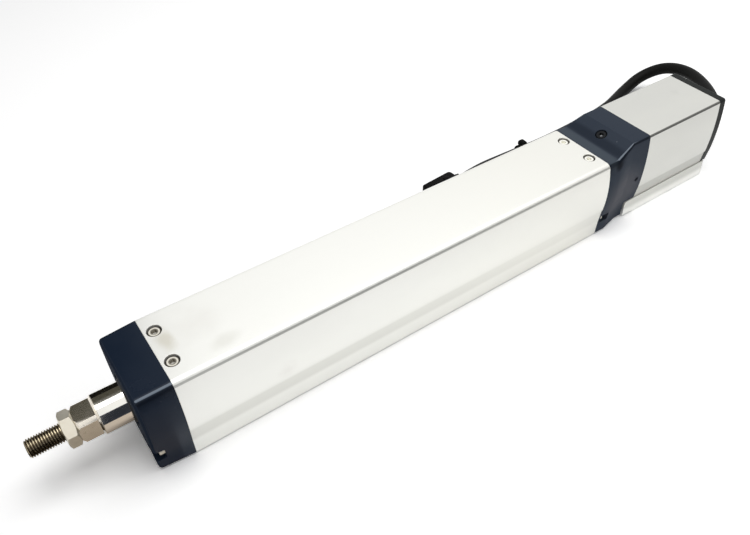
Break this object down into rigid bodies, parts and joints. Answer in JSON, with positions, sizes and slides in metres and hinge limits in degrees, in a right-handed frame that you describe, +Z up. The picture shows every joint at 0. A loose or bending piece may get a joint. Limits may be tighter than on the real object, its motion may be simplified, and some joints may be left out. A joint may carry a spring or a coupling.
{
  "type": "electric linear actuator",
  "caption": "Rod-type electric linear actuator: an extruded body with a ball screw inside, a rod with a threaded end that slides out, an in-line motor and a cable with a connector.",
  "frame": {"origin": "on the flat base, on the centre plane, 152 mm behind the front end of the body extrusion", "axes": "+X the way the rod extends, +Y towards the side with the access hole, +Z up from the base"},
  "size_m": [0.5647, 0.1187, 0.063],
  "materials": {
    "extrusion": "natural anodised, satin",
    "navy_paint": "satin dark navy paint",
    "end_cap_paint": "satin dark grey paint",
    "rod_chrome": "polished hard chrome",
    "rod_end_steel": "ground flats, dark stud",
    "bright_plate": "bright plated",
    "black_steel": "black oxide",
    "bearing_steel": "ground",
    "inner_aluminium": "machined",
    "bronze": "turned",
    "magnet_steel": "laminated",
    "copper_wire": "enamelled wire",
    "soft_rubber": "matt",
    "spider_rubber": "matt",
    "guide_plastic": "machined",
    "black_plastic": "moulded",
    "board": "printed board",
    "cable_jacket": "smooth jacket"
  },
  "bodies": {
    "housing": {"access_plug": "black_steel", "bearing_block": "inner_aluminium", "bearing_retainer": "bearing_steel", "body_extrusion": "extrusion", "cable_connector": "black_plastic", "cable_gland": "black_plastic", "cable_tie": "black_plastic", "coupling_housing": "navy_paint", "encoder_board": "board", "encoder_cover": "black_plastic", "end_cap_screws": "black_steel", "front_bracket": "navy_paint", "front_bumper": "soft_rubber", "front_lower_screws": "bright_plate", "front_top_screws": "bright_plate", "housing_lower_screws": "bright_plate", "motor_base_rail": "extrusion", "motor_bearing_outer_rings": "bearing_steel", "motor_cable": "cable_jacket", "motor_cover": "extrusion", "motor_end_cap": "end_cap_paint", "motor_front_flange": "inner_aluminium", "motor_rear_flange": "inner_aluminium", "motor_screws": "black_steel", "motor_stator": "magnet_steel", "motor_windings": "copper_wire", "rail_screws": "black_steel", "rear_bumper": "soft_rubber", "rear_top_screws": "bright_plate", "rod_bush": "bronze", "rod_wiper": "soft_rubber", "screw_bearing_outer_rings": "bearing_steel"},
    "rod": {"rod_tube": "rod_chrome", "rod_end": "rod_end_steel", "rod_lock_nut": "bright_plate", "ball_nut": "bearing_steel", "ball_nut_screws": "black_steel", "nut_carrier": "inner_aluminium", "guide_pads": "guide_plastic", "rod_set_screws": "black_steel"},
    "screw": {"screw_shaft": "bearing_steel", "screw_tip_bush": "guide_plastic", "tip_clip": "bearing_steel", "screw_bearing_inner_rings": "bearing_steel", "bearing_lock_nut": "bearing_steel", "screw_hub": "inner_aluminium", "coupling_spider": "spider_rubber", "motor_hub": "inner_aluminium", "hub_set_screws": "black_steel", "motor_shaft": "bearing_steel", "motor_rotor": "magnet_steel", "motor_bearing_inner_rings": "bearing_steel", "encoder_disc": "inner_aluminium"}
  },
  "joints": [
    {"name": "rod_slide", "type": "slide", "parent": "housing", "child": "rod", "axis": [1, 0, 0], "range_m": [0, 0.2]},
    {"name": "screw_spin", "type": "hinge", "parent": "housing", "child": "screw", "pos_m": [0, 0, 0.0313], "axis": [1, 0, 0], "range_deg": [-6001, 0]}
  ],
  "couplings": [
    {"joint": "screw_spin", "follows": "rod_slide", "rad_per_m": -523.6}
  ]
}
